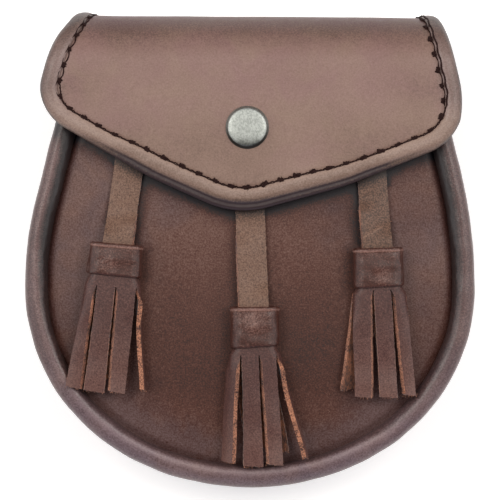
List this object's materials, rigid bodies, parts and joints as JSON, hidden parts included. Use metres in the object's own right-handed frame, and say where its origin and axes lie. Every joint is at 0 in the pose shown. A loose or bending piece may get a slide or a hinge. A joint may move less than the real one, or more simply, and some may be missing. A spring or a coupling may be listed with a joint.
{
  "type": "sporran pouch",
  "caption": "Round-bottomed leather pouch with a padded rim, a pointed snap-down flap with a stitched border, and tassels on straps; lies on its back.",
  "frame": {"origin": "under the middle of the pouch, on the surface that it lies on", "axes": "+X to the right in a front view, +Y up towards the fold of the flap, +Z out of the front"},
  "size_m": [0.18, 0.1903, 0.0491],
  "materials": {
    "pouch_leather": "smooth dyed veg-tan leather, satin",
    "rim_leather": "smooth thin leather over a padded cord, satin",
    "flap_leather": "smooth heavy leather, waxed satin",
    "border_leather": "smooth thin leather over a padded cord, satin",
    "strap_leather": "smooth leather with raw cut edges",
    "tassel_leather": "smooth leather with raw cut edges and suede backs",
    "aged_nickel": "antique nickel, satin"
  },
  "bodies": {
    "root": {"back_panel": "pouch_leather", "front_panel": "pouch_leather", "gusset": "pouch_leather", "front_rim": "rim_leather", "back_rim": "rim_leather", "flap_panel": "flap_leather", "flap_border": "border_leather", "snap_cap": "aged_nickel", "snap_stud": "aged_nickel", "tassel_strap_left": "strap_leather", "tassel_strap_middle": "strap_leather", "tassel_strap_right": "strap_leather", "tassel_band_left": "tassel_leather", "tassel_band_middle": "tassel_leather", "tassel_band_right": "tassel_leather", "tassel_fringe_left": "tassel_leather", "tassel_fringe_middle": "tassel_leather", "tassel_fringe_right": "tassel_leather", "strap_loop_left": "pouch_leather", "strap_loop_right": "pouch_leather"}
  },
  "joints": []
}
